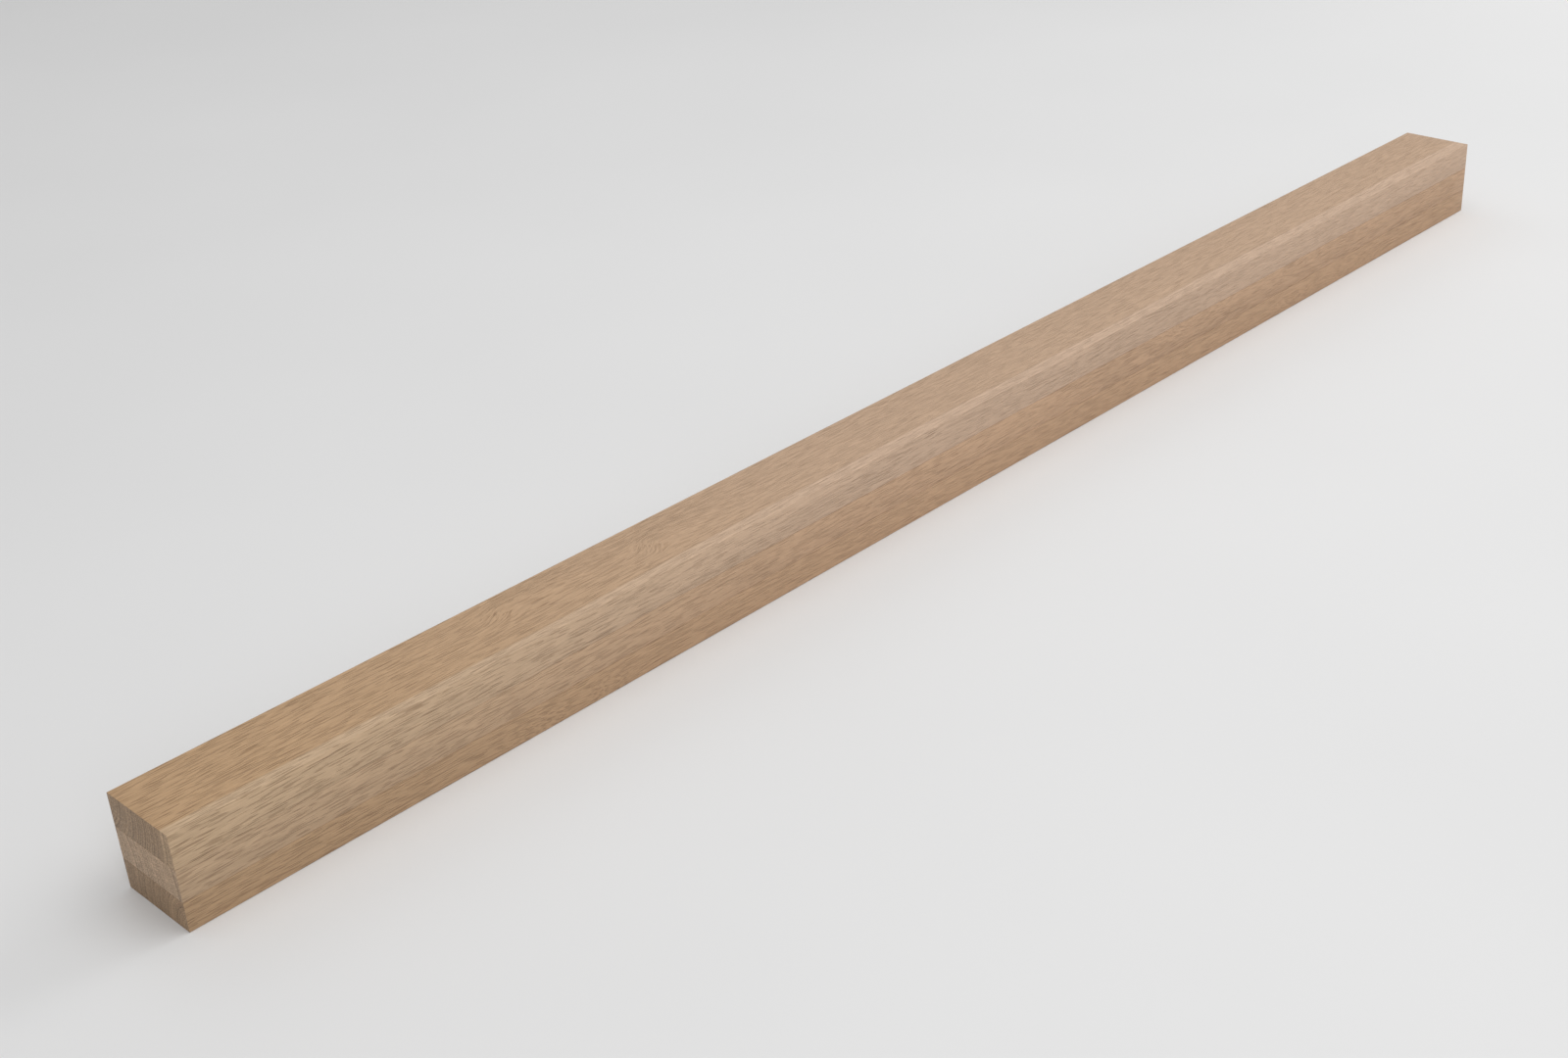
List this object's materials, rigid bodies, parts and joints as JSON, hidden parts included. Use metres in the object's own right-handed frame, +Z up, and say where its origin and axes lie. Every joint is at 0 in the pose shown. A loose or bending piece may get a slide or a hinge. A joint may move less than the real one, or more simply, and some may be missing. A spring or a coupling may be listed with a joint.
{
  "type": "threshold strip",
  "caption": "Straight laminated oak door threshold strip: three full-length glued lamellas in a nearly square section, planed flush, long edges eased, ends sawn square.",
  "frame": {"origin": "middle of the underside, on the floor", "axes": "+X along the strip, +Y across it from its front face to its back face, +Z up through the three lamellas"},
  "size_m": [1.6, 0.072, 0.075],
  "materials": {
    "top_oak": "planed and fine-sanded bare oak, pale honey with open pores",
    "middle_oak": "planed and fine-sanded bare oak, mid tan",
    "bottom_oak": "planed and fine-sanded bare oak, slightly darker and redder",
    "wood_glue": "cured clear-amber wood adhesive, matt where planed"
  },
  "bodies": {
    "root": {"top_lamella": "top_oak", "middle_lamella": "middle_oak", "bottom_lamella": "bottom_oak", "upper_glue_line": "wood_glue", "lower_glue_line": "wood_glue"}
  },
  "joints": []
}
